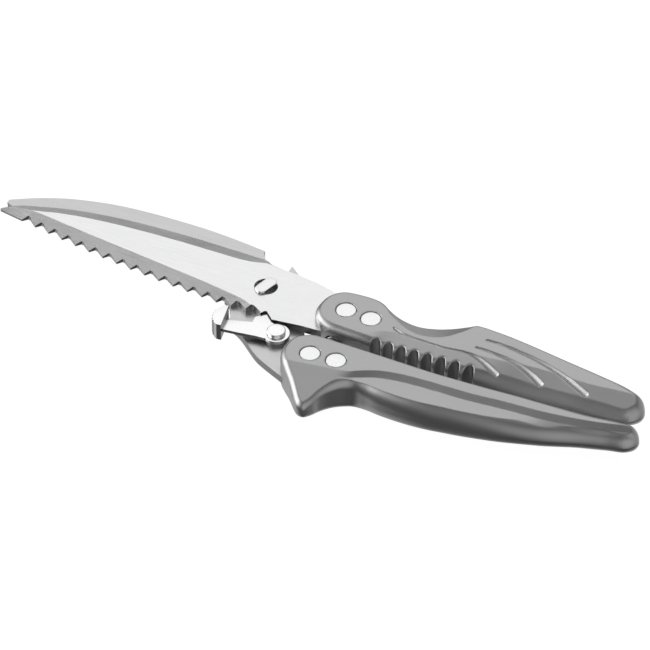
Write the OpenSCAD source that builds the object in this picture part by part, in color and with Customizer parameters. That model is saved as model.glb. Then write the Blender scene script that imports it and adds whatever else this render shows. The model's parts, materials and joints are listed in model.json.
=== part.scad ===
// Poultry shears, locked shut and lying flat: two crossed blades on a pivot stud, a saw edge
// with a bone notch that the latch hooks, and two moulded handles with a spring between them.
// Inside the file, X and Y are measured from the pivot axis and Z from the plane where the
// blades slide on each other. X runs from the tips to the handles.

/* [Blades] */
// Thickness of each blade
blade_t = 3; // [2.7:0.1:3.2]
// Thickness left at the cutting edges
edge_t = 0.3; // [0.2:0.1:0.6]
// Thickness left along the saw teeth
saw_edge_t = 0.8; // [0.6:0.1:1.2]
// Distance from one saw tooth to the next
tooth_pitch = 5.8; // [5.6:0.1:6]
// Number of saw teeth
tooth_count = 17; // [10:1:17]
// Gap between the sliding faces of the blades
slide_gap = 0.06; // [0.04:0.01:0.1]

/* [Pivot] */
// Diameter of the bore in the front blade
pivot_d = 8.4; // [8:0.1:8.6]
// Width of the stud's flat neck and head
stud_w = 4.4; // [4:0.1:5]
// Length of the stud's head
stud_head = 9; // [8.8:0.1:10]
// Direction of the head, from the blades' length
stud_turn = 73; // [60:1:85]

/* [Latch] */
// Thickness of the latch lever
latch_t = 1.2; // [1:0.1:1.3]
// Diameter of the latch rivet's head
latch_head_d = 6.7; // [6.4:0.1:7.4]
// Height of the thumb pad
pad_h = 7; // [6.5:0.1:7]
// Distance from one knurl groove to the next
knurl_pitch = 1.4; // [1.2:0.1:1.6]

/* [Handles] */
// Thickness of the handles at the rivets
handle_t = 15; // [14.5:0.5:15.5]
// Thickness of the handles at their ends
handle_end_t = 11.6; // [11:0.2:13]
// Rounding of the handles' long edges
handle_r = 2.4; // [2:0.1:2.6]
// Number of finger scallops
scallop_count = 8; // [4:1:8]
// Distance from one scallop to the next
scallop_pitch = 4.96; // [4.8:0.02:5]

/* [Rivets and spring] */
// Diameter of the handle rivets' heads
rivet_head_d = 7.1; // [6.5:0.1:7.4]
// Diameter of the hollow rivets' bodies
rivet_body_d = 5; // [4.6:0.1:5.4]
// Outer diameter of the return spring
spring_d = 5.4; // [5:0.1:5.6]
// Wire diameter of the return spring
spring_wire = 0.8; // [0.6:0.1:0.9]
// Number of turns in the return spring
spring_turns = 7; // [6:1:8]

/* [Hidden] */
$fn = 64;
eps = 0.01;
fit = 0.05;                     // radial play of a turning fit and side play of a tang in its slot
face_gap = 0.1;                 // play under the stud's head and the latch rivet's head
half_t = handle_t / 2;
origin = [22.1, -14.35, -half_t];  // middle of the bounding box, on the surface the shears lie on

steel = [0.86, 0.87, 0.88];
dark_steel = [0.72, 0.73, 0.74];
plastic = [0.42, 0.42, 0.43];

// ---- curves ---------------------------------------------------------------------------------
function mid(a, b, c, d, t) =   // Catmull-Rom between b and c
    0.5 * (2 * b + (c - a) * t + (2 * a - 5 * b + 4 * c - d) * t ^ 2 + (3 * b - a - 3 * c + d) * t ^ 3);
function open_curve(p, n) = concat(
    [for (i = [0:len(p) - 2]) for (j = [0:n - 1])
        mid(p[max(i - 1, 0)], p[i], p[i + 1], p[min(i + 2, len(p) - 1)], j / n)],
    [p[len(p) - 1]]);
function loop_curve(p, n) = let(m = len(p)) [for (i = [0:m - 1]) for (j = [0:n - 1])
        mid(p[(i - 1 + m) % m], p[i], p[(i + 1) % m], p[(i + 2) % m], j / n)];
function reversed(p) = [for (i = [len(p) - 1:-1:0]) p[i]];

// Height of the curve through points p at x, with p in order of x
function slope(p, i) = i == 0 ? (p[1].y - p[0].y) / (p[1].x - p[0].x)
    : i == len(p) - 1 ? (p[i].y - p[i - 1].y) / (p[i].x - p[i - 1].x)
    : (p[i + 1].y - p[i - 1].y) / (p[i + 1].x - p[i - 1].x);
function height(p, x) = let(
    i = max([for (k = [0:len(p) - 2]) if (k == 0 || x >= p[k].x) k]),
    w = p[i + 1].x - p[i].x, t = (x - p[i].x) / w, s0 = slope(p, i) * w, s1 = slope(p, i + 1) * w)
    p[i].y * (2 * t ^ 3 - 3 * t ^ 2 + 1) + s0 * (t ^ 3 - 2 * t ^ 2 + t)
    + p[i + 1].y * (3 * t ^ 2 - 2 * t ^ 3) + s1 * (t ^ 3 - t ^ 2);

// Solid through a row of cross-sections that all have the same number of points
module loft(sections) {
    n = len(sections[0]);
    last = len(sections) - 1;
    polyhedron(
        points = [for (s = sections) each s],
        faces = concat(
            [[for (i = [0:n - 1]) i]],
            [[for (i = [n - 1:-1:0]) last * n + i]],
            [for (k = [0:last - 1]) for (i = [0:n - 1]) let(j = (i + 1) % n)
                each [[k * n + i, (k + 1) * n + i, (k + 1) * n + j], [k * n + i, (k + 1) * n + j, k * n + j]]]));
}

// ---- blades ---------------------------------------------------------------------------------
blade_x = concat([-104.2, -103.6, -102.6, -101, -99, -97], [for (x = [-93:4:-13]) x],
    [-10.7, -8, -6, -5, -4, -3, -1, 1]);
front_edge = [[-104.2, -1.7], [-102.6, 0.6], [-99.5, 2.6], [-96.3, 4.1], [-86, 8], [-76, 10.5],
    [-61, 12.9], [-41, 14.5], [-21, 15], [-11, 15], [-7, 14.2], [-5, 12.8], [-3, 11.3], [1, 10.9]];
front_bevel = [[-104.2, -1.95], [-99, 0], [-92, 0.3], [-85, 2.5], [-75, 4.7], [-60, 6.7], [-40, 8.1],
    [-20, 8.7], [-11, 9.4], [-5, 11.1], [-3, 11], [1, 10.8]];
saw_bevel = [[-104.2, -2.05], [-99, -0.1], [-92, 0.1], [-80, -1.1], [-60, -3.2], [-40, -5.1],
    [-20, -7.1], [-10, -8.4], [-5, -9.3], [-1.5, -10.4], [1, -11.8]];
saw_r = 563.8;                  // the saw teeth stand on a long arc
saw_mid = [4.6, -12.5];         // its lowest point
saw_centre = saw_mid + [0, saw_r];
first_tooth_x = -93.6;
function saw_edge(x) = saw_centre.y - sqrt(saw_r ^ 2 - (x - saw_centre.x) ^ 2);
function ridge(x) = blade_t - 1.7 * max(0, -92 - x) / 12;   // the point is ground thinner
bevel_slope = 0.46;             // steepest that the bevels run out at their ends

rear_edge = [[-104.4, 3.1], [-100, 1.5], [-85, -2.5], [-60, -5.8], [-30, -8], [-10, -9.4]];
rear_bevel = [[-104.4, 3.6], [-100, 3.4], [-85, 2.6], [-60, 0.4], [-30, -1.6], [-10, -3]];
rear_spine = [[-104.4, 4.7], [-96.5, 9.4], [-86.5, 14], [-76.5, 17], [-66.5, 19.1], [-56.5, 20.2],
    [-46.5, 20.8], [-33, 21.1], [-20, 20.5], [-10, 19.6]];

front_tang = concat(
    [[-12, 8.6], [-4.5, 10.9]], [[8, 10.4], [16, 9.4], [23, 7.8], [27, 6.2], [30, 4.6], [36, 2.5]],
    [[88, 0.5], [88, -6.5], [36, -9], [29.2, -10.8], [29.2, -12.3], [20, -12.9], [9.3, -14.4], [7.3, -12.6]],
    [[5.9, -11.3], [5.1, -11.6], [4.3, -13.1], [2.4, -12.9], [0.6, -11.4], [-2, -9.8], [-5, -8.9], [-12, -7.8]]);
rear_plate = concat(
    [[-12, 19.5], [-10.8, 19.7], [-6.3, 13.6], [-4.5, 12.2], [0.5, 12.2], [2.2, 13.4], [2.1, 16.6], [7, 12.9]],
    open_curve([[10, 8.6], [14, 2], [17.4, -6], [20.7, -12], [22, -14.3], [24, -18.4], [29, -21.4], [40, -22]], 4),
    [[88, -21.5], [88, -28], [46, -31.5], [36, -33.5], [31, -36.5]],
    reversed(open_curve([[-12, -8.6], [-9.6, -10], [-7.6, -12.9], [-6.1, -15.5], [-5.5, -18], [-4, -20.4], [-1, -21.6],
        [2.5, -23.8], [9.8, -29.6], [13.8, -32], [21.6, -35.4], [27, -37.6]], 4)));

latch_pivot = [13.43, -19.28];
latch_hole_d = 4;
rear_hole_d = 6;                // the stud's tail through the rear blade
upper_rivets = [[32.6, -3], [42.3, -3.4]];
lower_rivets = [[31, -28.5], [40.6, -27.8]];
latch_z = 1.1;                  // underside of the lever
latch_end_r = 4.7;
pad_z = 4.8 - pad_h;            // underside of the thumb pad

// One gullet of the saw: a steep flank towards the tip and a long one towards the pivot
module gullet() {
    linear_extrude(blade_t + 1)
        polygon([[-1, -3], [-1, -1.2], [0.25, 0.8], [1.2, 0.75], [4.9, -1.2], [4.9, -3]]);
}

module front_blade_shape() {
    loft([for (x = blade_x) let(z = ridge(x)) [
        [x, front_edge_y(x), slide_gap / 2],
        [x, front_edge_y(x), max(edge_t, z - bevel_slope * (front_edge_y(x) - height(front_bevel, x)))],
        [x, height(front_bevel, x), z], [x, height(saw_bevel, x), z],
        [x, saw_tip_y(x), max(saw_edge_t, z - bevel_slope * (height(saw_bevel, x) - saw_tip_y(x)))],
        [x, saw_tip_y(x), slide_gap / 2]]]);
    translate([0, 0, slide_gap / 2]) linear_extrude(blade_t - slide_gap / 2) polygon(front_tang);
}
function front_edge_y(x) = height(front_edge, x);
// From the point the lower edge runs straight to the first tooth
function saw_tip_y(x) = x < first_tooth_x - 1
    ? -2.3 + (saw_edge(first_tooth_x - 1) + 2.3) * (x + 104.2) / (first_tooth_x - 1 + 104.2) : saw_edge(x);

module front_blade() {
    color(steel) place() difference() {
        front_blade_shape();
        translate([0, 0, -1]) cylinder(d = pivot_d, h = blade_t + 2);
        for (i = [0:tooth_count - 1]) {
            x = first_tooth_x + i * tooth_pitch;
            turn = asin((x - saw_centre.x) / saw_r);
            translate([x, saw_edge(x) + 1.2, -0.5]) rotate(turn) gullet();
        }
        for (p = upper_rivets) translate([p.x, p.y, -1]) cylinder(d = rivet_body_d + 2 * fit, h = blade_t + 2);
    }
}

module rear_blade() {
    color(dark_steel) place() difference() {
        union() {
            loft([for (x = [-104.4, -103.4, -102, -100, -97, each [-94:4:-14], -10]) [
                [x, height(rear_spine, x), -blade_t], [x, height(rear_spine, x), -slide_gap / 2],
                [x, height(rear_edge, x), -slide_gap / 2], [x, height(rear_edge, x), -edge_t],
                [x, height(rear_bevel, x), -blade_t]]]);
            translate([0, 0, -blade_t]) linear_extrude(blade_t - slide_gap / 2) polygon(rear_plate);
        }
        translate([0, 0, -blade_t - 1]) cylinder(d = rear_hole_d, h = blade_t + 2);
        translate([latch_pivot.x, latch_pivot.y, -blade_t - 1]) cylinder(d = latch_hole_d, h = blade_t + 2);
        for (p = lower_rivets)
            translate([p.x, p.y, -blade_t - 1]) cylinder(d = rivet_body_d + 2 * fit, h = blade_t + 2);
    }
}

// ---- pivot and latch ------------------------------------------------------------------------
module pivot_stud() {
    neck_top = blade_t + face_gap;
    color(steel) place() rotate(stud_turn) {
        intersection() {
            cylinder(d = pivot_d - 2 * fit, h = neck_top + 0.5);
            translate([-pivot_d, -stud_w / 2, 0]) cube([2 * pivot_d, stud_w, neck_top + 0.5]);
        }
        translate([0, 0, neck_top]) linear_extrude(stud_head_t) stadium(stud_head, stud_w);
        translate([0, 0, -blade_t - 0.5]) cylinder(d = rear_hole_d - 2 * fit, h = blade_t + 0.5 + eps);
        translate([0, 0, -blade_t - face_gap / 2]) rotate([180, 0, 0]) rivet_dome(9, 1.2);
    }
}

stud_head_t = 0.9;
module stadium(length, width) {
    for (s = [-1, 1]) translate([s * (length - width) / 2, 0]) circle(d = width);
    square([length - width, width], center = true);
}

// Round head with a low crown, standing on z = 0
module rivet_dome(d, h) {
    crown_r = (d ^ 2 / 4 + (h / 2) ^ 2) / h;
    intersection() {
        cylinder(d = d, h = h);
        translate([0, 0, h - crown_r]) sphere(r = crown_r, $fn = 96);
    }
}

latch_arm = [[10.6, -15.3], [9.3, -14.85], [7.6, -13.35], [6.5, -12.3], [5.9, -12.4], [4.6, -13.6], [3.35, -14.8],
    [3.2, -15.4], [3.5, -17.8], [-4.4, -20.5], [-6.6, -21], [-5.8, -26], [-4.8, -25.8], [1.8, -24.8], [7.8, -23.8], [11, -23.6]];
pad_flat = [[-6.5, -16.2], [-4.45, -26.55]];    // the pad's flat side, towards the pivot
pad_centre = [-4.2, -21.4];                     // of the arc on its thumb side
pad_r = 5.65;

module latch() {
    color(steel) place() difference() {
        union() {
            translate([0, 0, latch_z]) linear_extrude(latch_t) {
                polygon(latch_arm);
                translate(latch_pivot) circle(r = latch_end_r);
            }
            translate([0, 0, pad_z]) linear_extrude(pad_h) polygon([pad_flat[0], pad_flat[1],
                each [for (a = [250:-10:120]) pad_centre + pad_r * [cos(a), sin(a)]]]);
        }
        translate([latch_pivot.x, latch_pivot.y, 0]) cylinder(d = latch_hole_d, h = blade_t + 1);
        for (i = [-3:3]) {      // knurl grooves along the pad's thumb side
            a = 186 + i * knurl_pitch / pad_r * 180 / PI;
            translate([pad_centre.x + pad_r * cos(a), pad_centre.y + pad_r * sin(a), pad_z - 1])
                cylinder(r = 0.35, h = pad_h + 2, $fn = 16);
        }
    }
}

module latch_washer() {
    color(dark_steel) place() translate([latch_pivot.x, latch_pivot.y, fit / 2]) difference() {
        cylinder(d = 8, h = latch_z - fit);
        translate([0, 0, -1]) cylinder(d = latch_hole_d + 0.2, h = latch_z + 2);
    }
}

module latch_rivet() {
    color(steel) place() translate([latch_pivot.x, latch_pivot.y, 0]) {
        translate([0, 0, -blade_t - 0.5]) cylinder(d = latch_hole_d - 2 * fit, h = blade_t + latch_z + latch_t + 1);
        translate([0, 0, latch_z + latch_t + face_gap]) rivet_dome(latch_head_d, 1.4);
        translate([0, 0, -blade_t - face_gap / 2]) rotate([180, 0, 0]) rivet_dome(6.6, 1);
    }
}

// ---- handles --------------------------------------------------------------------------------
// Each outline is two rows of points from the nose to the end, one for each long side. The third
// number is how far the edge's rounding differs from handle_r there.
upper_far = [[23.6, 2, 0], [27.5, 5.9, 0], [34, 7.1, 0], [41, 7, 0], [46.4, 4.6, 0], [51.5, 2.7, 0], [58, 2.6, 0],
    [64, 4.8, 0], [70, 7.9, 0], [76.5, 10.2, 0], [84, 10.5, 0], [94, 10.1, 0], [111, 8.5, 0], [126, 7.3, 0.6],
    [136, 6.5, 1.6], [142, 4, 2.6]];
upper_near = [[22.6, -7, 0], [25, -10.8, 0], [29.2, -13, 0], [36, -13.4, 0], [44, -13.4, 0], [50, -13.3, 0], [57, -13.2, 0],
    [64, -13.1, 0], [71, -12.9, 0], [78, -12.6, 0.3], [86, -12.2, 0.6], [96, -11.6, 1.6], [110, -10.5, 2.4],
    [122, -9.2, 3], [132, -8, 3], [140, -6.6, 3]];
upper_nose = [22.3, -3, 0];
upper_end = [144.6, -1.2, 3];
lower_far = [[22.4, -22.3, 0], [25.6, -19.6, 0], [30, -18.4, 0], [36, -18.2, 0], [44, -18.2, 0], [52, -18.2, 0],
    [60, -18.2, 0], [68, -18.2, 0], [76, -18, 0], [84, -17.5, 0], [94, -16.5, 0.4], [105, -15.1, 1], [117, -13.7, 2],
    [129, -11.9, 2.6], [138, -10, 3], [145, -9.6, 3]];
lower_near = [[21.6, -30.5, 0], [24, -34.4, 0], [29, -35.6, 0], [36, -35.8, 1], [44, -35.4, 2], [52, -35.3, 2.8],
    [60, -35.7, 3.6], [68, -36, 4], [76, -35.6, 4], [84, -34.5, 4], [94, -32.9, 3.8], [105, -30.9, 3.6],
    [117, -27.6, 3.4], [129, -23, 3.2], [138, -20.1, 3], [145.4, -18.3, 3]];
lower_nose = [21.2, -26.6, 0];
lower_end = [148.6, -13.8, 3];
taper_from = 80;                // the handles thin out from here to their ends

function half(x) = half_t - (half_t - handle_end_t / 2) * max(0, x - taper_from) / (upper_end.x - taper_from);
function outward(p, i) = let(n = len(p), d = p[(i + 1) % n] - p[(i + n - 1) % n]) [-d.y, d.x] / norm([d.x, d.y]);

// Closed outline from the nose along the far side to the end and back along the near side
function outline(nose, far, end, near) = loop_curve(concat([nose], far, [end], reversed(near)), 4);

// Plate with rounded edges and a flat top and bottom, over a clockwise outline
module rounded_plate(p, steps = 4) {
    n = len(p);
    rows = 2 * steps + 2;
    angles = concat([for (k = [0:steps]) -90 + 90 * k / steps], [for (k = [0:steps]) 90 * k / steps]);
    polyhedron(
        points = [for (k = [0:rows - 1]) for (i = [0:n - 1]) let(
            a = angles[k], r = handle_r + p[i].z, q = -outward(p, i) * r * (1 - cos(a)), side = k <= steps ? -1 : 1)
            [p[i].x + q.x, p[i].y + q.y, side * (half(p[i].x) - r) + r * sin(a)]],
        faces = concat(
            [for (k = [0:rows - 2]) for (i = [0:n - 1]) let(j = (i + 1) % n)
                each [[k * n + i, k * n + j, (k + 1) * n + j], [k * n + i, (k + 1) * n + j, (k + 1) * n + i]]],
            [for (i = [0:n / 2 - 2]) let(b = (rows - 1) * n)
                each [[b + i, b + i + 1, b + n - i - 1], [n - i - 1, i + 1, i]]],
            [for (i = [1:n / 2 - 1]) let(b = (rows - 1) * n)
                each [[b + i, b + n - i - 1, b + n - i], [n - i, n - i - 1, i]]]));
}

module tang_slot(tang, z) {
    translate([0, 0, z - fit]) linear_extrude(blade_t + 2 * fit) offset(delta = fit) polygon(tang);
}

// Through hole for a rivet's body with a counterbore for the head at each face
module rivet_seat(p) {
    translate([p.x, p.y, -half_t - 1]) cylinder(d = rivet_body_d + 2 * fit, h = handle_t + 2);
    for (s = [-1, 1]) translate([p.x, p.y, s * (half_t - 0.5)])
        cylinder(d = rivet_head_d + 0.3, h = 1 + rivet_head_t, center = true);
}
rivet_head_t = 1;

spring_x = 32.4;
spring_from = -20.6;            // seat in the lower handle
spring_to = -11.4;              // seat in the upper handle
module spring_pocket() {
    translate([spring_x, spring_to, 0]) rotate([90, 0, 0]) cylinder(d = spring_d + 0.8, h = spring_to - spring_from);
}

module upper_handle() {
    color(plastic) place() difference() {
        rounded_plate(outline(upper_nose, upper_far, upper_end, upper_near));
        tang_slot(front_tang, 0);
        for (p = upper_rivets) rivet_seat(p);
        spring_pocket();
        for (i = [0:scallop_count - 1]) {
            x = 48.4 + i * scallop_pitch;
            translate([x, height(upper_near, x) - 0.1, -half_t]) cylinder(r = 2, h = handle_t, $fn = 32);
        }
        for (s = [0, 1]) mirror([0, 0, s]) thumb_scoop();
    }
}

// Both faces fall away past a curved crease, where the thumb lies
scoop_crease = [[43, 6.4], [47, 1.8], [50.6, -0.3], [53.9, -2.1], [57.3, -3.3], [60.2, -3.7], [62.8, -3.5], [66.2, -2.6],
    [69.6, -0.6], [72.3, 2.3], [75, 5.9], [77.6, 11]];
scoop_fall = 0.29;
module thumb_scoop() {
    loft([for (p = scoop_crease) [
        [p.x, p.y, half_t], [p.x, p.y + 14, half_t - 14 * scoop_fall], [p.x, p.y + 14, half_t + 2], [p.x, p.y, half_t + 2]]]);
}

horn_tip = [37.4, -46.6];
horn_h = 8;
finger_recess = [53, -46.6];
finger_recess_r = 12;

module lower_handle() {
    color(plastic) place() difference() {
        union() {
            rounded_plate(outline(lower_nose, lower_far, lower_end, lower_near));
            difference() {
                hull() {
                    translate([horn_tip.x, horn_tip.y, -horn_h / 2]) cylinder(r = 3.2, h = horn_h, $fn = 32);
                    for (x = [27.6, 49]) translate([x, -31, 0]) {
                        cylinder(r = 5, h = handle_t - 2 * handle_r, center = true, $fn = 32);
                        cylinder(r = 5 - handle_r, h = handle_t - 0.2, center = true, $fn = 32);
                    }
                }
                translate([finger_recess.x, finger_recess.y, -handle_t])
                    cylinder(r = finger_recess_r, h = 2 * handle_t);
            }
        }
        tang_slot(rear_plate, -blade_t);
        for (p = lower_rivets) rivet_seat(p);
        spring_pocket();
    }
}

// ---- handle rivets and spring ---------------------------------------------------------------
head_z = half_t - 0.1;          // the heads lie just below the handles' faces

// Hollow half: head at the bottom face, with a body that reaches almost to the top head
module rivet_body(p) {
    translate([p.x, p.y, 0]) difference() {
        union() {
            translate([0, 0, -head_z]) cylinder(d = rivet_head_d, h = rivet_head_t - 0.1);
            translate([0, 0, -head_z]) cylinder(d = rivet_body_d, h = 2 * head_z - rivet_head_t);
        }
        translate([0, 0, -head_z + 1.5]) cylinder(d = rivet_body_d - 1.6, h = 2 * head_z);
    }
}

// Solid half: head at the top face, with a pin driven into the hollow half
module rivet_pin(p) {
    translate([p.x, p.y, 0]) {
        translate([0, 0, head_z - rivet_head_t + 0.1]) cylinder(d = rivet_head_d, h = rivet_head_t - 0.1);
        translate([0, 0, -head_z + 4]) cylinder(d = rivet_body_d - 1.6 - 0.04, h = 2 * head_z - 4 - 0.1);
    }
}

module upper_rivet_bodies() {
    color(steel) place() for (p = upper_rivets) rivet_body(p);
}

module upper_rivet_pins() {
    color(steel) place() for (p = upper_rivets) rivet_pin(p);
}

module lower_rivet_bodies() {
    color(steel) place() for (p = lower_rivets) rivet_body(p);
}

module lower_rivet_pins() {
    color(steel) place() for (p = lower_rivets) rivet_pin(p);
}

// Closed compression spring, wound from seat to seat along Y
module return_spring() {
    r = (spring_d - spring_wire) / 2;
    w = spring_wire / 2;
    length = spring_to - spring_from - spring_wire - 2 * face_gap;
    rings = 14 * spring_turns;
    color(dark_steel) place() translate([spring_x, spring_from + w + face_gap, 0])
        loft([for (k = [0:rings]) let(
            turn = 360 * spring_turns * k / rings,
            across = [sin(turn), 0, cos(turn)],
            centre = across * r + [0, length * k / rings, 0])
            [for (a = [300:-60:0]) centre + across * w * cos(a) + [0, w * sin(a), 0]]]);
}

// Moves a piece from the pivot's frame to the part's own frame
module place() {
    translate(-origin) children();
}

front_blade();
rear_blade();
pivot_stud();
latch();
latch_washer();
latch_rivet();
upper_handle();
lower_handle();
upper_rivet_bodies();
upper_rivet_pins();
lower_rivet_bodies();
lower_rivet_pins();
return_spring();
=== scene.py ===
import json
import math

import bmesh
import bpy
import numpy as np
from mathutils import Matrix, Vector


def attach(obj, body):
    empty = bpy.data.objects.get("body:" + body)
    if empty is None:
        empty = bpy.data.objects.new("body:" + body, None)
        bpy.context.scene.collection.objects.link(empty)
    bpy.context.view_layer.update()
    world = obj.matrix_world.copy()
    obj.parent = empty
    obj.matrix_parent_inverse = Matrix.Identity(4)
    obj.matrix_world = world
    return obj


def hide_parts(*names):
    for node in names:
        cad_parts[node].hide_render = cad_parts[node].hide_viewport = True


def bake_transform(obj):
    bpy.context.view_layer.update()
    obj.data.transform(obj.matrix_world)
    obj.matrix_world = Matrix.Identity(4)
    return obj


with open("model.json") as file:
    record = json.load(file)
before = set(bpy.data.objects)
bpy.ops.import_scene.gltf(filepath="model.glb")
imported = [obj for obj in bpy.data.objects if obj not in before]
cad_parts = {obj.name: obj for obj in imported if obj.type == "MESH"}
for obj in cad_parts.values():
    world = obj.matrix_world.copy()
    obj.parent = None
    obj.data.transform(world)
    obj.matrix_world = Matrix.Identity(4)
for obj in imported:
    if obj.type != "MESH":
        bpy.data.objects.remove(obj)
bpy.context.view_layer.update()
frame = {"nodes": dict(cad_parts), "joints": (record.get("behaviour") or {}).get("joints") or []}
nodes = frame["nodes"]
joints = {j["name"]: j for j in frame["joints"]}
MM = 0.001
PIVOT = np.array(joints["shears_open"]["pos_m"])    # the shapes below are measured from here, in mm


# ---- meshes from shape functions -------------------------------------------------------------
def new_piece(name, verts, faces, normals=None):
    mesh = bpy.data.meshes.new(name)
    mesh.from_pydata([], [], [])
    mesh.vertices.add(len(verts))
    mesh.vertices.foreach_set("co", np.asarray(verts, np.float32).ravel())
    faces = np.asarray(faces, np.int32)
    mesh.loops.add(faces.size)
    mesh.loops.foreach_set("vertex_index", faces.ravel())
    mesh.polygons.add(len(faces))
    mesh.polygons.foreach_set("loop_start", np.arange(0, faces.size, faces.shape[1], dtype=np.int32))
    mesh.polygons.foreach_set("use_smooth", np.ones(len(faces), bool))
    mesh.update(calc_edges=True)
    mesh.validate()
    if normals is not None:
        mesh.normals_split_custom_set_from_vertices(normals)
    obj = bpy.data.objects.new(name, mesh)
    bpy.context.scene.collection.objects.link(obj)
    return obj


def gradient(field, p, h=0.02):
    g = np.empty_like(p)
    for a in range(3):
        step = np.zeros(3)
        step[a] = h
        g[:, a] = (field(p + step) - field(p - step)) / (2 * h)
    return g


def skin_of(field, low, high, cell):
    """Quads over field = 0, negative inside: surface nets on a grid of that cell, drawn onto the surface."""
    low, high = np.array(low, float), np.array(high, float)
    count = np.ceil((high - low) / cell).astype(int) + 1
    axes = [low[a] + cell * np.arange(count[a]) for a in range(3)]
    grid = np.stack(np.meshgrid(*axes, indexing="ij"), -1).reshape(-1, 3)
    v = np.concatenate([field(part) for part in np.array_split(grid, 12)]).reshape(count)
    inside = v < 0
    total = np.zeros(tuple(count - 1) + (3,))
    hits = np.zeros(tuple(count - 1))
    corners = [(i, j, k) for i in (0, 1) for j in (0, 1) for k in (0, 1)]
    cut = lambda arr, c: arr[c[0]:c[0] + count[0] - 1, c[1]:c[1] + count[1] - 1, c[2]:c[2] + count[2] - 1]
    for c in corners:
        for a in range(3):
            if c[a] == 0:
                d = list(c)
                d[a] = 1
                va, vb = cut(v, c), cut(v, d)
                crosses = cut(inside, c) != cut(inside, d)
                t = np.where(crosses, va / np.where(crosses, va - vb, 1), 0)
                at = np.zeros(va.shape + (3,)) + np.array(c, float)
                at[..., a] += t
                total += at * crosses[..., None]
                hits += crosses
    active = hits > 0
    index = np.full(active.shape, -1)
    index[active] = np.arange(active.sum())
    where = np.argwhere(active)
    p = low + cell * (where + total[active] / hits[active][:, None])
    faces = []
    for a in range(3):
        b, c = (a + 1) % 3, (a + 2) % 3
        first = np.take(inside, range(count[a] - 1), a)
        second = np.take(inside, range(1, count[a]), a)
        e = np.argwhere(first != second)
        e = e[(e[:, b] > 0) & (e[:, c] > 0) & (e[:, b] < count[b] - 1) & (e[:, c] < count[c] - 1)]
        out = first[tuple(e.T)]
        quad = []
        for db, dc in ((1, 1), (0, 1), (0, 0), (1, 0)):
            q = e.copy()
            q[:, b] -= db
            q[:, c] -= dc
            quad.append(index[tuple(q.T)])
        quad = np.stack(quad, 1)
        quad[~out] = quad[~out][:, ::-1]
        faces.append(quad)
    for _ in range(4):
        g = gradient(field, p)
        step = field(p)[:, None] * g / np.maximum((g * g).sum(1, keepdims=True), 0.04)
        p = p - np.clip(step, -0.4 * cell, 0.4 * cell)
    g = gradient(field, p, 0.04)
    return p, np.concatenate(faces), g / np.maximum(np.linalg.norm(g, axis=1, keepdims=True), 1e-9)


def smooth(t):
    """Eased step from 0 to 1 as t goes from 0 to 1."""
    t = np.clip(t, 0, 1)
    return t * t * (3 - 2 * t)


def between(a, b, x):
    """Eased step from 0 at a to 1 at b."""
    return smooth((x - a) / (b - a))


def spline(points, closed=False, n=8):
    """Catmull-Rom curve through the points, of any dimension."""
    p = np.array(points, float)
    m = len(p)
    out = []
    for i in range(m if closed else m - 1):
        q = [p[(i + k) % m] if closed else p[min(max(i + k, 0), m - 1)] for k in (-1, 0, 1, 2)]
        for t in np.arange(n) / n:
            out.append(0.5 * (2 * q[1] + (q[2] - q[0]) * t + (2 * q[0] - 5 * q[1] + 4 * q[2] - q[3]) * t ** 2
                              + (3 * q[1] - q[0] - 3 * q[2] + q[3]) * t ** 3))
    if not closed:
        out.append(p[-1])
    return np.array(out)


def level(points, x):
    """Smooth height at x of the curve through points in order of x."""
    c = spline(points)
    return np.interp(x, c[:, 0], c[:, 1])


def to_line(line, q, closed=False):
    """Distance from points q to a polyline, and the share of the way along it, as point number."""
    a = line
    b = np.roll(line, -1, 0) if closed else line[1:]
    a = a if closed else line[:-1]
    best = np.full(len(q), 1e9)
    at = np.zeros(len(q))
    for i in range(len(a)):
        d = b[i, :2] - a[i, :2]
        t = np.clip(((q - a[i, :2]) @ d) / max(d @ d, 1e-9), 0, 1)
        e = q - a[i, :2] - t[:, None] * d
        r = np.hypot(e[:, 0], e[:, 1])
        near = r < best
        best[near] = r[near]
        at[near] = i + t[near]
    return best, at


def in_outline(line, q):
    """Which points q lie inside the closed polyline."""
    odd = np.zeros(len(q), bool)
    for a, b in zip(line[:, :2], np.roll(line[:, :2], -1, 0)):
        crosses = (a[1] > q[:, 1]) != (b[1] > q[:, 1])
        odd ^= crosses & (q[:, 0] < (b[0] - a[0]) * (q[:, 1] - a[1]) / (b[1] - a[1] + 1e-12) + a[0])
    return odd


class Plan:
    """Fields over the plan of a handle: distance to the outline, edge radius, and the two heights."""

    def __init__(self, outline, body, top, step=0.2, margin=1.5):
        line = spline(outline, closed=True, n=6)
        self.low = line[:, :2].min(0) - margin
        self.step = step
        n = np.ceil((line[:, :2].max(0) + margin - self.low) / step).astype(int) + 1
        self.high = self.low + (n - 1) * step
        x, y = np.meshgrid(*[self.low[a] + step * np.arange(n[a]) for a in (0, 1)], indexing="ij")
        q = np.stack([x.ravel(), y.ravel()], 1)
        d, at = to_line(line, q, closed=True)
        d[in_outline(line, q)] *= -1
        i = at.astype(int) % len(line)
        j = (i + 1) % len(line)
        r = line[i, 2] + (at - at.astype(int)) * (line[j, 2] - line[i, 2])
        self.fields = np.stack([d, r, body(*q.T), top(*q.T)], 1).reshape(n[0], n[1], 4)

    def at(self, x, y):
        u = np.clip((x - self.low[0]) / self.step, 0, self.fields.shape[0] - 1.001)
        v = np.clip((y - self.low[1]) / self.step, 0, self.fields.shape[1] - 1.001)
        i, j = u.astype(int), v.astype(int)
        u, v = (u - i)[:, None], (v - j)[:, None]
        f = self.fields
        near = f[i, j] * (1 - u) + f[i + 1, j] * u
        far = f[i, j + 1] * (1 - u) + f[i + 1, j + 1] * u
        return (near * (1 - v) + far * v).T


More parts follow.
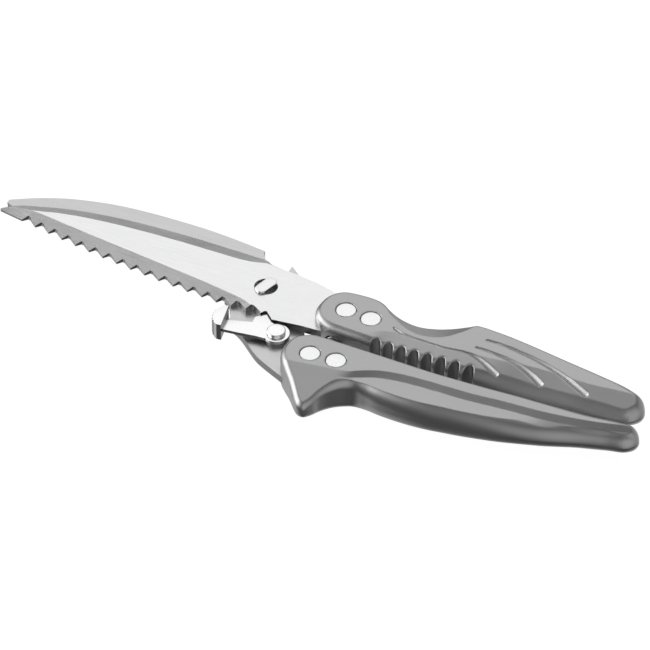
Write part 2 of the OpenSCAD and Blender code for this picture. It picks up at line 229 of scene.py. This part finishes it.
def slab(plan, p):
    """Plate with rounded edges: negative inside the outline and under both heights."""
    d, r, body, top = plan.at(p[:, 0], p[:, 1])
    h = np.abs(p[:, 2])
    a, b = d + r, h - body - CREASE * r + r
    edge = np.minimum(np.maximum(a, b), 0) + np.hypot(np.maximum(a, 0), np.maximum(b, 0)) - r
    k = 0.12
    m = np.clip(0.5 + 0.5 * (edge - (h - top)) / k, 0, 1)
    return edge * m + (h - top) * (1 - m) + k * m * (1 - m)


def carve(f, g, k):
    """f without the inside of g, with a small fillet of size k along the cut."""
    h = np.clip(0.5 - 0.5 * (f + g) / k, 0, 1)
    return f * (1 - h) - g * h + k * h * (1 - h)


def groove(x, y, path, width, depth):
    """Depth of a rounded groove along path, whose third number scales width and depth."""
    c = spline(path)
    d, at = to_line(c, np.stack([x, y], 1))
    i = np.minimum(at.astype(int), len(c) - 2)
    s = c[i, 2] + (at - i) * (c[i + 1, 2] - c[i, 2])
    s = np.maximum(s, 0.05)
    return depth * s * (1 - smooth(d / (width * s)))


# ---- handles ---------------------------------------------------------------------------------
HALF = 7.5                      # half the thickness of the handles
END_HALF = 5.8
TAPER_FROM = 80
TAPER_LENGTH = 64.6
CELL = 0.4                      # grid on which the skins are drawn


def thickness(x):
    """Half the thickness of a handle at x."""
    return HALF - (HALF - END_HALF) * np.clip((x - TAPER_FROM) / TAPER_LENGTH, 0, 1)


# Outlines: x, y, edge radius
UPPER = [
    (22.3, -3, 2.7), (23.6, 2, 2.5), (27.5, 5.9, 2.3), (34, 7.1, 2.1), (41, 7, 2.1), (46.4, 4.6, 2.1),
    (51.5, 2.7, 2.3), (58, 2.6, 2.4), (64, 4.8, 2.4), (70, 7.9, 2.2), (76.5, 10.2, 2), (84, 10.5, 2),
    (94, 10.1, 2.1), (111, 8.5, 2.5), (126, 7.3, 3.2), (136, 6.5, 4.4), (142.3, 4.1, 5),
    (144.6, -1, 5.2), (140.4, -6.4, 5.2), (132, -7.9, 5.7), (122, -9.1, 6), (110, -10.4, 6.3),
    (96, -11.5, 6.3), (87, -12.2, 5), (78, -12.6, 3.4), (64, -13.1, 3), (50, -13.3, 3),
    (36, -13.4, 3.3), (29.2, -13, 3.5), (25, -10.8, 3.4), (22.6, -7, 3)]
CREASE = 0.06                   # share of the edge radius off the top, so that the edge starts at a crease
SCOOP = [
    (43, 6.4), (47, 1.8), (50.6, -0.3), (53.9, -2.1), (57.3, -3.3), (60.2, -3.7), (62.8, -3.5),
    (66.2, -2.6), (69.6, -0.6), (72.3, 2.3), (75, 5.9), (77.6, 11)]
SCOOP_FALL = 0.29
SHOULDER = [
    (30, -14), (44, -9.6), (50, -6.8), (54, -6), (58, -6), (65, -6.3), (72, -5.9), (79, -5),
    (87.6, -3.5), (95.7, -2.1), (103.5, -0.7), (111.4, -0.1), (123.4, 0.4), (134, 2), (140.2, 3),
    (150, 5)]
GROOVE_WIDTH = 0.95
GROOVE_DEPTH = 0.62
GROOVES = [                     # x, y, scale of width and depth
    [(51.6, -4.1, 0.5), (53.2, -4.9, 0.8), (56.5, -5.7, 0.65), (65, -6, 0.5), (72, -5.7, 0.5),
     (78, -4.9, 0.7), (82.5, -5, 1), (86.7, -6.15, 1.25), (90.5, -7.7, 1.5), (92.3, -8.4, 1.5)],
    [(81.5, -0.8, 0.6), (85.4, -0.65, 0.7), (91.4, -0.95, 0.9), (97.9, -2.1, 1.15), (103.4, -3.7, 1.4),
     (107.8, -5.7, 1.5)],
    [(83.3, 4.2, 0.6), (88.9, 4.5, 0.65), (97, 3.8, 0.9), (105.4, 2.4, 1.1), (114.3, -0.2, 1.3),
     (124, -3.7, 1.4)]]
SHOULDER_FALL = 0.23            # slope beyond the shoulder, and what it gains towards the end
SHOULDER_GAIN = 0.1
SCALLOPS = [(48.5 + 4.6 * k + 0.05 * k * k, 2.3 + 0.19 * k) for k in range(8)]      # x, depth
NEAR_SIDE = [(36, -13.4), (50, -13.3), (64, -13.1), (86, -12.2)]    # the side that the scallops cut
SCALLOP_HALF = 1.9              # half the width of a scallop
SCALLOP_REACH = 9.5             # how far up and down it would reach
ROUNDNESS = 2.2                 # 2 is an ellipse, more is squarer


def upper_body(x, y):
    """Height that the rounded edges start from: it falls away past the scoop and below the shoulder."""
    scooped = (x > SCOOP[0][0]) * (x < SCOOP[-1][0])
    t = thickness(x) - SCOOP_FALL * np.maximum(y - level(SCOOP, x), 0) * scooped
    fall = SHOULDER_FALL + SHOULDER_GAIN * between(84, 100, x)
    return t - fall * np.maximum(level(SHOULDER, x) - y, 0) * between(40, 52, x)


def upper_top(x, y):
    """Height of the top face, which the underside mirrors."""
    t = upper_body(x, y)
    for path in GROOVES:
        t = t - groove(x, y, path, GROOVE_WIDTH, GROOVE_DEPTH)
    return t


upper_plan = Plan(UPPER, upper_body, upper_top)


def scallop(p, x0, depth):
    """One finger scallop: a rounded hollow in the handle's near side."""
    side = np.interp(x0, *zip(*NEAR_SIDE))
    q = (np.abs((p[:, 0] - x0) / SCALLOP_HALF) ** ROUNDNESS
         + np.abs((p[:, 1] - side) / (depth + 0.5)) ** ROUNDNESS
         + np.abs(p[:, 2] / SCALLOP_REACH) ** (ROUNDNESS + 1)) ** (1 / ROUNDNESS)
    return (q - 1) * SCALLOP_HALF


POCKET_R = 3.7                  # of the recess for a rivet's head
POCKET_FLOOR = 6.45             # its height from the middle plane


def rivet_pocket(f, p, spots):
    """f with a round recess for a rivet's head at each spot, in both faces."""
    for x0, y0 in spots:
        r = np.hypot(p[:, 0] - x0, p[:, 1] - y0) - POCKET_R
        near = r < 3
        g = np.maximum(r, POCKET_FLOOR - np.abs(p[:, 2]))
        f = np.where(near, carve(f, g, 0.2), f)
    return f


UPPER_RIVETS = [(32.6, -3), (42.3, -3.4)]
LOWER_RIVETS = [(31, -28.5), (40.6, -27.8)]
SPRING_X = 32.4
SEAT_FROM = -20.6               # the spring's seat in the lower handle
SEAT_TO = -11.4                 # and in the upper handle
SEAT_R = 3.1


def seat(f, p):
    """The return spring's pocket."""
    r = np.hypot(p[:, 0] - SPRING_X, p[:, 2]) - SEAT_R
    g = np.maximum(r, np.maximum(SEAT_FROM - p[:, 1], p[:, 1] - SEAT_TO))
    return carve(f, g, 0.3)


def upper_field(p):
    """The upper handle: its plate with the scallops, rivet recesses and spring seat cut out."""
    f = slab(upper_plan, p)
    for x0, depth in SCALLOPS:
        near = np.abs(p[:, 0] - x0) < 4
        f[near] = carve(f[near], scallop(p[near], x0, depth), 0.45)
    return seat(rivet_pocket(f, p, UPPER_RIVETS), p)


LOWER = [
    (20.7, -26.6, 2.7), (22.1, -22.3, 2.5), (25.6, -19.6, 2.3), (30, -18.4, 2), (46, -18.2, 1.8),
    (60, -18.2, 1.8), (75, -18.1, 1.8), (84, -17.5, 1.9), (94, -16.5, 2.1), (105, -15.1, 2.6),
    (117, -13.7, 3.4), (129, -11.9, 4.6), (138, -10, 5.2), (145, -9.6, 5.2), (148.6, -13.8, 5.3),
    (145.4, -18.1, 5.3), (138, -20.1, 5.5), (129, -23, 5.7), (117, -27.6, 6), (105, -30.9, 6.3),
    (94, -32.9, 6.7), (84, -34.5, 7), (76, -35.6, 7), (68, -36, 7), (60, -35.7, 6.8),
    (54.5, -34.9, 6.2), (50.3, -34.7, 5), (46.6, -36.4, 3.6), (43.6, -39.7, 2.8), (41.6, -43.2, 2.4),
    (40.4, -46.6, 2.4), (38.7, -49.4, 2.7), (36.2, -49.7, 2.9), (34.1, -47.9, 3), (29.5, -42.2, 3),
    (25.9, -38.4, 3.1), (22.7, -34.6, 3.1), (20.9, -30.8, 2.9)]
STEP = [
    (20, -35.5), (25.6, -34.8), (36, -33), (43, -31.8), (47, -30.9), (50.1, -29.1), (56.1, -26.2),
    (62.9, -24.6), (69.9, -23.8), (77.2, -23.4), (84.4, -23), (91.7, -22.3), (101.9, -20.9),
    (109.9, -20.1), (116.3, -19.3), (125.6, -17.6), (133.2, -15.8), (140.5, -13.5), (150, -10)]


HORN_FALL = 0.25                # slope of the horn's face beyond the step
PANEL_DEPTH = 1.35
PANEL_SLOPE_WIDTH = 2.5         # of the slope down to the panel
LEAST_HALF = 3.2


def panel_share(x):
    """0 on the horn, 1 where the panel is."""
    return between(43, 52, x)


def lower_top(x, y):
    """Height of the top face, which the underside mirrors: a flat, a slope and an inset panel."""
    past = np.maximum(level(STEP, x) - y, 0)
    horn = HORN_FALL * past
    beyond = np.maximum(past - PANEL_SLOPE_WIDTH, 0)
    panel = PANEL_DEPTH * np.clip(past / PANEL_SLOPE_WIDTH, 0, 1) + 0.3 * beyond * between(106, 120, x)
    w = panel_share(x)
    return np.maximum(thickness(x) - (horn * (1 - w) + panel * w), LEAST_HALF)


def lower_body(x, y):
    """Height that the rounded edges start from."""
    past = np.maximum(level(STEP, x) - y, 0)
    t = thickness(x) - (0.3 * between(60, 85, x) + 1.3 * between(85, 116, x)) * smooth(past / 4)
    return np.maximum(t - HORN_FALL * past * (1 - panel_share(x)), LEAST_HALF)


lower_plan = Plan(LOWER, lower_body, lower_top)


def lower_field(p):
    """The lower handle: its plate with the rivet recesses and the spring seat cut out."""
    f = rivet_pocket(slab(lower_plan, p), p, LOWER_RIVETS)
    return seat(f, p)


def make_handle(name, field, plan, node, body):
    """The visual skin of a handle, in place of its CAD solid."""
    low = [*plan.low, -HALF - 1.2]
    high = [*plan.high, HALF + 1.2]
    p, faces, normals = skin_of(field, low, high, CELL)
    piece = new_piece(name, p * MM + PIVOT, faces, normals)
    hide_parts(node)
    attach(piece, body)
    return piece


# ---- materials -------------------------------------------------------------------------------
def material(name):
    """A new node material, with its tree and its shader."""
    m = bpy.data.materials.new(name)
    m.use_nodes = True
    tree = m.node_tree
    shader = next(n for n in tree.nodes if n.type == "BSDF_PRINCIPLED")
    return m, tree, shader


def add(tree, kind, **sockets):
    """A new node, with values given by socket name or property name."""
    n = tree.nodes.new(kind)
    for key, value in sockets.items():
        if key in n.inputs:
            n.inputs[key].default_value = value
        else:
            setattr(n, key, value)
    return n


def noise(tree, scale, size, detail):
    """Noise on the object's own coordinates, scale = stretch along each axis, size = repeats per metre."""
    coords = add(tree, "ShaderNodeTexCoord")
    place = add(tree, "ShaderNodeMapping")
    place.inputs["Scale"].default_value = scale
    tree.links.new(coords.outputs["Object"], place.inputs["Vector"])
    n = add(tree, "ShaderNodeTexNoise")
    n.inputs["Scale"].default_value = size
    n.inputs["Detail"].default_value = detail
    tree.links.new(place.outputs["Vector"], n.inputs["Vector"])
    return n


def spread(tree, source, low, high):
    """The noise's middle range, stretched to run from low to high."""
    r = add(tree, "ShaderNodeMapRange")
    r.inputs["From Min"].default_value = 0.3
    r.inputs["From Max"].default_value = 0.7
    r.inputs["To Min"].default_value = low
    r.inputs["To Max"].default_value = high
    tree.links.new(source, r.inputs["Value"])
    return r.outputs["Result"]


def tint(tree, shader, factor, dark, light):
    """Base colour that varies with factor between two colours."""
    mix = add(tree, "ShaderNodeMix")
    mix.data_type = "RGBA"
    mix.inputs["A"].default_value = (*dark, 1)
    mix.inputs["B"].default_value = (*light, 1)
    tree.links.new(factor, mix.inputs["Factor"])
    tree.links.new(mix.outputs["Result"], shader.inputs["Base Color"])


def bump(tree, shader, source, strength, distance):
    b = add(tree, "ShaderNodeBump")
    b.inputs["Strength"].default_value = strength
    b.inputs["Distance"].default_value = distance
    tree.links.new(source, b.inputs["Height"])
    tree.links.new(b.outputs["Normal"], shader.inputs["Normal"])


def walls(tree, shader, wall_painted_shade, plus_x_painted_shade=None, steep=(0.2, 0.5)):
    """Painted shade: darkens the base colour of walls and steep facets, where |normal z| is under the steep
    range, and paints a deeper shade on faces turned towards +X.
    """
    facing = add(tree, "ShaderNodeNewGeometry")
    split = add(tree, "ShaderNodeSeparateXYZ")
    tree.links.new(facing.outputs["True Normal"], split.inputs["Vector"])
    size = add(tree, "ShaderNodeMath", operation="ABSOLUTE")
    tree.links.new(split.outputs["Z"], size.inputs[0])
    # mask of the painted shade: 0 on steep faces, 1 on flat ones
    mask = add(tree, "ShaderNodeMapRange")
    mask.inputs["From Min"].default_value = steep[0]
    mask.inputs["From Max"].default_value = steep[1]
    tree.links.new(size.outputs["Value"], mask.inputs["Value"])
    source = shader.inputs["Base Color"].links[0].from_socket
    mix = add(tree, "ShaderNodeMix")
    mix.data_type = "RGBA"
    mix.inputs["A"].default_value = (wall_painted_shade, wall_painted_shade, wall_painted_shade, 1)
    tree.links.new(mask.outputs["Result"], mix.inputs["Factor"])
    tree.links.new(source, mix.inputs["B"])
    tree.links.new(mix.outputs["Result"], shader.inputs["Base Color"])
    # painted shade on faces turned towards +X, darker still than on the walls
    if plus_x_painted_shade is not None:
        cut = add(tree, "ShaderNodeMapRange")
        cut.inputs["From Min"].default_value = 0.85
        cut.inputs["From Max"].default_value = 0.95
        tree.links.new(split.outputs["X"], cut.inputs["Value"])
        plus_x_shaded = add(tree, "ShaderNodeMix")
        plus_x_shaded.data_type = "RGBA"
        plus_x_shaded.inputs["B"].default_value = (plus_x_painted_shade, plus_x_painted_shade, plus_x_painted_shade, 1)
        tree.links.new(cut.outputs["Result"], plus_x_shaded.inputs["Factor"])
        tree.links.new(mix.outputs["Result"], plus_x_shaded.inputs["A"])
        tree.links.new(plus_x_shaded.outputs["Result"], shader.inputs["Base Color"])


def steel(name, shade, rough, grain=(0.05, 1.0, 1.0), strength=0.12, wall_painted_shade=None, plus_x_painted_shade=None,
          steep=(0.2, 0.5)):
    """Ground stainless steel: fine scratches one way, cloudy polish, slightly uneven gloss; with painted
    shade on its walls and steep facets when a wall shade is given, and a deeper painted shade on faces
    towards +X when that is given too.
    """
    m, tree, shader = material(name)
    shader.inputs["Metallic"].default_value = 1
    scratches = noise(tree, grain, 2600, 4)
    cloud = noise(tree, (1, 1, 1), 45, 2)
    tint(tree, shader, spread(tree, cloud.outputs["Fac"], 0, 1),
         (shade - 0.035, shade - 0.035, shade - 0.03), (shade, shade, shade + 0.005))
    # painted shade on walls and steep facets, and on faces towards +X
    if wall_painted_shade is not None:
        walls(tree, shader, wall_painted_shade, plus_x_painted_shade, steep)
    both = add(tree, "ShaderNodeMath", operation="ADD")
    tree.links.new(spread(tree, scratches.outputs["Fac"], rough - 0.05, rough + 0.06), both.inputs[0])
    tree.links.new(spread(tree, cloud.outputs["Fac"], -0.02, 0.03), both.inputs[1])
    tree.links.new(both.outputs["Value"], shader.inputs["Roughness"])
    bump(tree, shader, scratches.outputs["Fac"], strength, 0.00002)
    return m


def moulded(name, shade):
    """Satin grey moulding: spark-eroded grain, with faint flow marks in its colour and gloss."""
    m, tree, shader = material(name)
    shader.inputs["Metallic"].default_value = 0.85
    shader.inputs["IOR"].default_value = 1.5
    grain = noise(tree, (1, 1, 1), 2600, 2)
    flow = noise(tree, (0.25, 1, 1), 90, 3)
    tint(tree, shader, spread(tree, flow.outputs["Fac"], 0, 1),
         (shade - 0.018, shade - 0.018, shade - 0.016), (shade + 0.012, shade + 0.012, shade + 0.013))
    tree.links.new(spread(tree, flow.outputs["Fac"], 0.33, 0.4), shader.inputs["Roughness"])
    bump(tree, shader, grain.outputs["Fac"], 0.16, 0.00006)
    return m


# painted shade on walls: on the front blade it begins at facets steeper than about 28 degrees, on the rear
# blade at steep walls
blade_steel = steel("blade_steel", 0.9, 0.3, strength=0.03, wall_painted_shade=0.42, steep=(0.7, 0.88))
rear_steel = steel("rear_blade_steel", 0.66, 0.33, strength=0.04, wall_painted_shade=0.3)
bright_plate = steel("bright_plate", 0.99, 0.2, (1, 0.2, 1), 0.03)
# painted shade on the latch's walls, and a near black painted shade on its flat face towards +X
latch_steel = steel("latch_steel", 0.99, 0.2, (1, 0.2, 1), 0.03, wall_painted_shade=0.6, plus_x_painted_shade=0.09)
stud_steel = steel("stud_steel", 0.9, 0.22, (1, 1, 1), 0.05)
rivet_steel = steel("rivet_steel", 0.95, 0.27, (1, 0.3, 1), 0.06)
washer_steel = steel("washer_steel", 0.45, 0.35, (1, 1, 1), 0.08)
wire = steel("spring_wire", 0.5, 0.3, (1, 1, 1), 0.05)
plastic = moulded("handle_plastic", 0.5)


def clean_copy(name, node, body, mat, angle=18, edge=0.0, keep=None):
    """A welded copy of a CAD piece with smooth walls. With edge, the edges that keep picks are rounded."""
    mesh = nodes[node].data.copy()
    if "custom_normal" in mesh.attributes:
        mesh.attributes.remove(mesh.attributes["custom_normal"])
    bm = bmesh.new()
    bm.from_mesh(mesh)
    bmesh.ops.remove_doubles(bm, verts=bm.verts, dist=4e-6)
    bmesh.ops.dissolve_limit(bm, angle_limit=math.radians(0.6), verts=bm.verts, edges=bm.edges)
    if edge:
        chosen = [e for e in bm.edges if len(e.link_faces) == 2 and e.calc_face_angle(0) > math.radians(35)
                  and keep(*[(np.array(v.co) - PIVOT) / MM for v in e.verts])]
        bmesh.ops.bevel(bm, geom=chosen, offset=edge * MM, segments=3, affect="EDGES", profile=0.5,
                        clamp_overlap=True)
    bmesh.ops.triangulate(bm, faces=[f for f in bm.faces if len(f.verts) > 4])
    for f in bm.faces:
        f.smooth = True
    bm.to_mesh(mesh)
    bm.free()
    mesh.materials.clear()
    mesh.materials.append(mat)
    mesh.set_sharp_from_angle(angle=math.radians(angle))
    obj = bpy.data.objects.new(name, mesh)
    bpy.context.scene.collection.objects.link(obj)
    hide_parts(node)
    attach(obj, body)
    return obj


def lathe(name, spots, profile, node, body, mat, sides=64):
    """Turned pieces about upright axes: profile is (radius, z) pairs, from the axis or a closed ring."""
    verts, faces = [], []
    m = len(profile)
    for x0, y0 in spots:
        base = len(verts)
        for k in range(sides):
            a = 2 * math.pi * k / sides
            verts += [(x0 + r * math.cos(a), y0 + r * math.sin(a), z) for r, z in profile]
        for k in range(sides):
            n = (k + 1) % sides
            for i in range(m):
                j = (i + 1) % m
                quad = [base + k * m + i, base + n * m + i, base + n * m + j, base + k * m + j]
                if profile[i][0] > 0 or profile[j][0] > 0:
                    faces.append(quad)
    bm = bmesh.new()
    points = [bm.verts.new(np.array(v) * MM + PIVOT) for v in verts]
    for f in faces:
        bm.faces.new([points[i] for i in f])
    bmesh.ops.remove_doubles(bm, verts=bm.verts, dist=1e-6)
    bmesh.ops.recalc_face_normals(bm, faces=bm.faces)
    for f in bm.faces:
        f.smooth = True
    mesh = bpy.data.meshes.new(name)
    bm.to_mesh(mesh)
    bm.free()
    mesh.materials.append(mat)
    mesh.set_sharp_from_angle(angle=math.radians(32))
    obj = bpy.data.objects.new(name, mesh)
    bpy.context.scene.collection.objects.link(obj)
    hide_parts(node)
    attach(obj, body)
    return obj


def rounded(r, z, corner, up=1, steps=5):
    """Profile points around a rounded rim, from the wall to the face."""
    return [(r - corner * (1 - math.cos(a)), z - up * corner * (1 - math.sin(a)))
            for a in [math.pi / 2 * i / steps for i in range(steps + 1)]]


clean_copy("front_blade_steel", "front_blade", "upper_half", blade_steel, 8)
clean_copy("rear_blade_steel", "rear_blade", "lower_half", rear_steel, 8)
clean_copy("pivot_stud_steel", "pivot_stud", "lower_half", stud_steel, 25, 0.3,
           lambda a, b: min(a[2], b[2]) > 3.9)
clean_copy("latch_plate", "latch", "latch_lever", latch_steel, 25, 0.12,
           lambda a, b: abs(a[2] - b[2]) < 0.01 and a[2] > 2)

RIM = 7.4                       # height of the rivet heads' faces
HEAD = 3.55                     # and their radius
pin = [(0, RIM), (1.6, RIM - 0.02)] + rounded(HEAD, RIM - 0.06, 0.3)[::-1] + [
    (HEAD, 6.5), (1.67, 6.5), (1.67, -3.4), (0, -3.4)]
hollow = [(0, -RIM), (1.6, -RIM + 0.02)] + rounded(HEAD, -RIM + 0.06, 0.3, -1)[::-1] + [
    (HEAD, -6.5), (2.5, -6.5), (2.5, 6.4), (1.7, 6.4), (1.7, -5.9), (0, -5.9)]
for half, spots in (("upper", UPPER_RIVETS), ("lower", LOWER_RIVETS)):
    lathe(half + "_pin_heads", spots, pin, half + "_rivet_pins", half + "_half", rivet_steel)
    lathe(half + "_hollow_heads", spots, hollow, half + "_rivet_bodies", half + "_half",
          rivet_steel)

LATCH_AXIS = [(13.43, -19.28)]
latch_pin = [(0, 3.8), (1.4, 3.77)] + rounded(3.35, 3.7, 0.5)[::-1] + [
    (3.35, 2.4), (1.95, 2.4), (1.95, -3.05), (3.3, -3.05)] + rounded(3.3, -3.95, 0.4, -1) + [
    (1.4, -4.02), (0, -4.05)]
lathe("latch_pin", LATCH_AXIS, latch_pin, "latch_rivet", "lower_half", bright_plate)
lathe("spacer", LATCH_AXIS, [(2.1, 0.05), (4, 0.05)] + rounded(4, 1.07, 0.15) + [(2.1, 1.07)],
      "latch_washer", "lower_half", washer_steel)

upper = make_handle("upper_grip", upper_field, upper_plan, "upper_handle", "upper_half")
lower = make_handle("lower_grip", lower_field, lower_plan, "lower_handle", "lower_half")
for grip in (upper, lower):
    grip.data.materials.append(plastic)


# ---- return spring ---------------------------------------------------------------------------
def coil(name, turns, r, w, y0, y1, rings=24, sides=10):
    """A spring along Y from y0 to y1, of mean radius r and wire radius w."""
    verts, faces = [], []
    count = int(turns * rings)
    for k in range(count + 1):
        a = 2 * math.pi * turns * k / count
        across = np.array([math.sin(a), 0, math.cos(a)])
        # the end turns lie flat on their seats
        share = np.clip((k / count - 0.06) / 0.88, 0, 1)
        run = 0.5 * smooth(share) + 0.5 * share
        centre = np.array([SPRING_X, y0 + (y1 - y0) * run, 0]) + across * r
        for i in range(sides):
            b = 2 * math.pi * i / sides
            verts.append(centre + across * w * math.cos(b) + np.array([0, w * math.sin(b), 0]))
    for k in range(count):
        for i in range(sides):
            j = (i + 1) % sides
            faces.append((k * sides + i, k * sides + j, (k + 1) * sides + j, (k + 1) * sides + i))
    return new_piece(name, np.array(verts) * MM + PIVOT, faces)


spring = coil("return_coil", 7.5, 2.3, 0.4, -20.1, -11.9)
spring.data.materials.append(wire)
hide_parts("return_spring")
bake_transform(spring)


# ---- floor, light and camera -----------------------------------------------------------------
FLOOR = 8                       # half its width, in metres
FLOOR_Z = -0.0002
floor = new_piece("floor", [(x * FLOOR, y * FLOOR, FLOOR_Z) for x, y in ((-1, -1), (1, -1), (1, 1), (-1, 1))],
                  [(0, 1, 2, 3)])
floor.visible_diffuse = False
floor.visible_glossy = False
m, tree, shader = material("floor_paper")
out = next(n for n in tree.nodes if n.type == "OUTPUT_MATERIAL")
shader.inputs["Base Color"].default_value = (0.2, 0.2, 0.2, 1)
shader.inputs["Roughness"].default_value = 1
shader.inputs["Specular IOR Level"].default_value = 0
shader.inputs["Emission Color"].default_value = (1, 1, 1, 1)
shader.inputs["Emission Strength"].default_value = 0.97
floor.data.materials.append(m)

world = bpy.data.worlds.new("studio")
bpy.context.scene.world = world
world.use_nodes = True
tree = world.node_tree
tree.nodes.clear()
direction = add(tree, "ShaderNodeTexCoord").outputs["Generated"]


def lobe(axis, inner, outer, power):
    """A soft round light in the sky, from full at inner degrees off axis to nothing at outer."""
    dot = add(tree, "ShaderNodeVectorMath", operation="DOT_PRODUCT")
    dot.inputs[1].default_value = Vector(axis).normalized()
    tree.links.new(direction, dot.inputs[0])
    ramp = add(tree, "ShaderNodeMapRange", interpolation_type="SMOOTHSTEP")
    ramp.inputs["From Min"].default_value = math.cos(math.radians(outer))
    ramp.inputs["From Max"].default_value = math.cos(math.radians(inner))
    ramp.inputs["To Max"].default_value = power
    tree.links.new(dot.outputs["Value"], ramp.inputs["Value"])
    return ramp.outputs["Result"]


def math_node(kind, a, b):
    """A math node on two numbers or outputs."""
    n = add(tree, "ShaderNodeMath", operation=kind)
    for i, v in enumerate((a, b)):
        if isinstance(v, (int, float)):
            n.inputs[i].default_value = v
        else:
            tree.links.new(v, n.inputs[i])
    return n.outputs["Value"]


def total(*parts):
    """Sum of numbers and outputs."""
    s = parts[0]
    for q in parts[1:]:
        s = math_node("ADD", s, q)
    return s


mirror_sky = total(0.1,
                   lobe((-0.32, 0.3, 0.9), 24, 46, 0.36),           # ceiling
                   lobe((-0.32, 0.66, 0.68), 17, 38, 0.82),         # the sheet behind and above
                   lobe((-0.2, 0.97, -0.05), 20, 50, 0.12),
                   lobe((0, 0.72, -0.69), 25, 50, 0.8),             # pale table behind
                   lobe((-0.7, -0.12, -0.66), 22, 38, 0.75),        # pale table to the left
                   lobe((-0.97, 0, 0.24), 6, 26, 3.6),              # long lamp, from the left to the front
                   lobe((-0.82, -0.33, 0.46), 8, 28, 1.8),
                   lobe((-0.62, -0.67, 0.42), 6, 22, 2.2),
                   lobe((0.7, -0.66, 0.27), 22, 50, 0.75),          # pale wall, for the views from behind
                   lobe((0.8, 0.55, 0.02), 22, 50, 0.5))            # and one beyond the handles' ends
soft_sky = total(0.05, lobe((-0.1, 0.55, 0.83), 30, 75, 0.95))
path = add(tree, "ShaderNodeLightPath")
mixed = add(tree, "ShaderNodeMix", data_type="FLOAT")
tree.links.new(path.outputs["Is Glossy Ray"], mixed.inputs["Factor"])
tree.links.new(soft_sky, mixed.inputs["A"])
tree.links.new(mirror_sky, mixed.inputs["B"])
seen = add(tree, "ShaderNodeMix", data_type="FLOAT")
tree.links.new(path.outputs["Is Camera Ray"], seen.inputs["Factor"])
tree.links.new(mixed.outputs["Result"], seen.inputs["A"])
seen.inputs["B"].default_value = 1.05
background = add(tree, "ShaderNodeBackground")
tree.links.new(seen.outputs["Result"], background.inputs["Strength"])
world_out = add(tree, "ShaderNodeOutputWorld")
tree.links.new(background.outputs["Background"], world_out.inputs["Surface"])

azimuth, elevation = math.radians(25.8), math.radians(42.45)
back = Vector((math.sin(azimuth) * math.cos(elevation), -math.cos(azimuth) * math.cos(elevation),
               math.sin(elevation)))
right = Vector((math.cos(azimuth), math.sin(azimuth), 0))
up = back.cross(right)
distance = 2.1
seen_at = Vector((20.673, -13.455)) * MM        # from the pivot to the middle of the view, across and up
target = Vector(PIVOT) + Vector((0, 0, 3 * MM)) + right * seen_at.x + up * seen_at.y
camera = bpy.data.cameras.new("camera")
camera.lens = 332
camera.sensor_width = 36
camera.clip_start, camera.clip_end = 0.05, 50
eye = bpy.data.objects.new("camera", camera)
bpy.context.scene.collection.objects.link(eye)
eye.location = target + back * distance
eye.rotation_mode = "QUATERNION"
eye.rotation_quaternion = (-back).to_track_quat("-Z", "Y")
bpy.context.scene.camera = eye
bpy.context.scene.view_settings.view_transform = "Standard"
